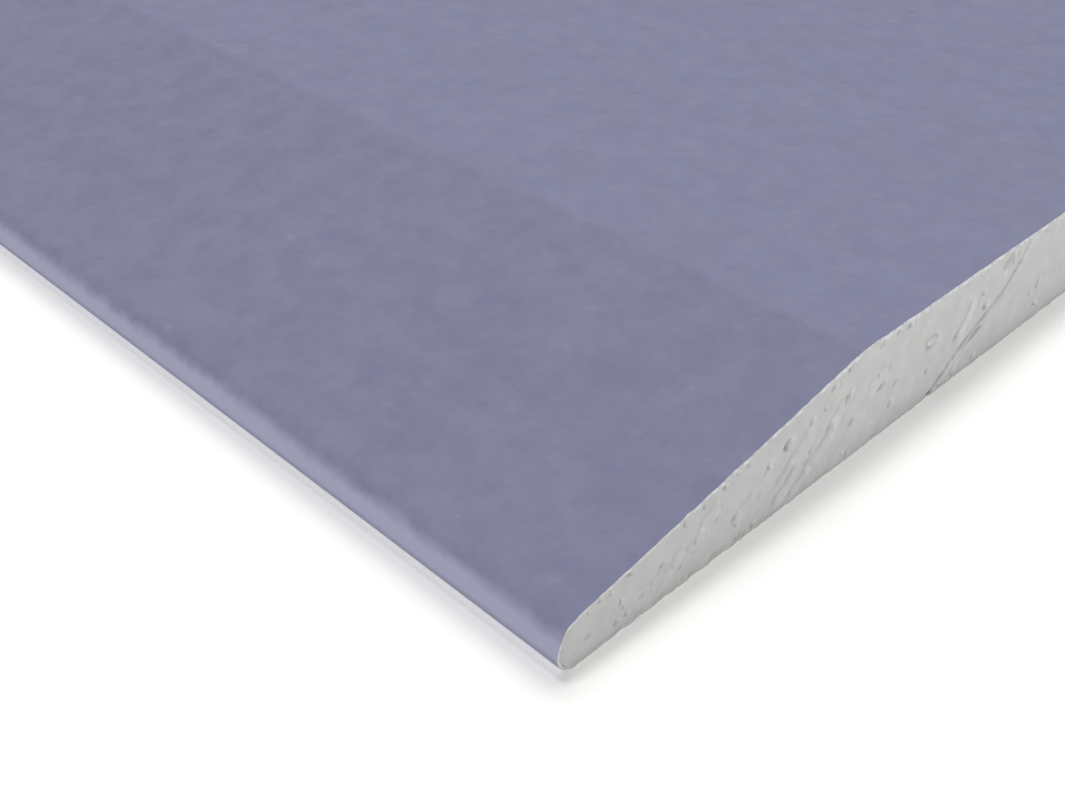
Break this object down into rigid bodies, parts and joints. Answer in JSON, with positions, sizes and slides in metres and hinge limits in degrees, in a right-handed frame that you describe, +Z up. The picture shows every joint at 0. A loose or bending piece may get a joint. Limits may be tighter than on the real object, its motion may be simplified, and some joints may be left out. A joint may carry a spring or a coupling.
{
  "type": "drywall sheet",
  "caption": "Flat gypsum wallboard with a paper-wrapped core, tapered and rounded long edges and square cut ends, for lining walls and ceilings.",
  "frame": {"origin": "middle of the back, on the surface that the sheet lies on", "axes": "+X along the length, +Y across the width between the tapered edges, +Z up out of the face"},
  "size_m": [2.4, 1.2, 0.015],
  "materials": {
    "gypsum": "matte",
    "face_paper": "matte",
    "back_paper": "matte"
  },
  "bodies": {
    "root": {"gypsum_core": "gypsum", "face_paper": "face_paper", "back_paper": "back_paper"}
  },
  "joints": []
}
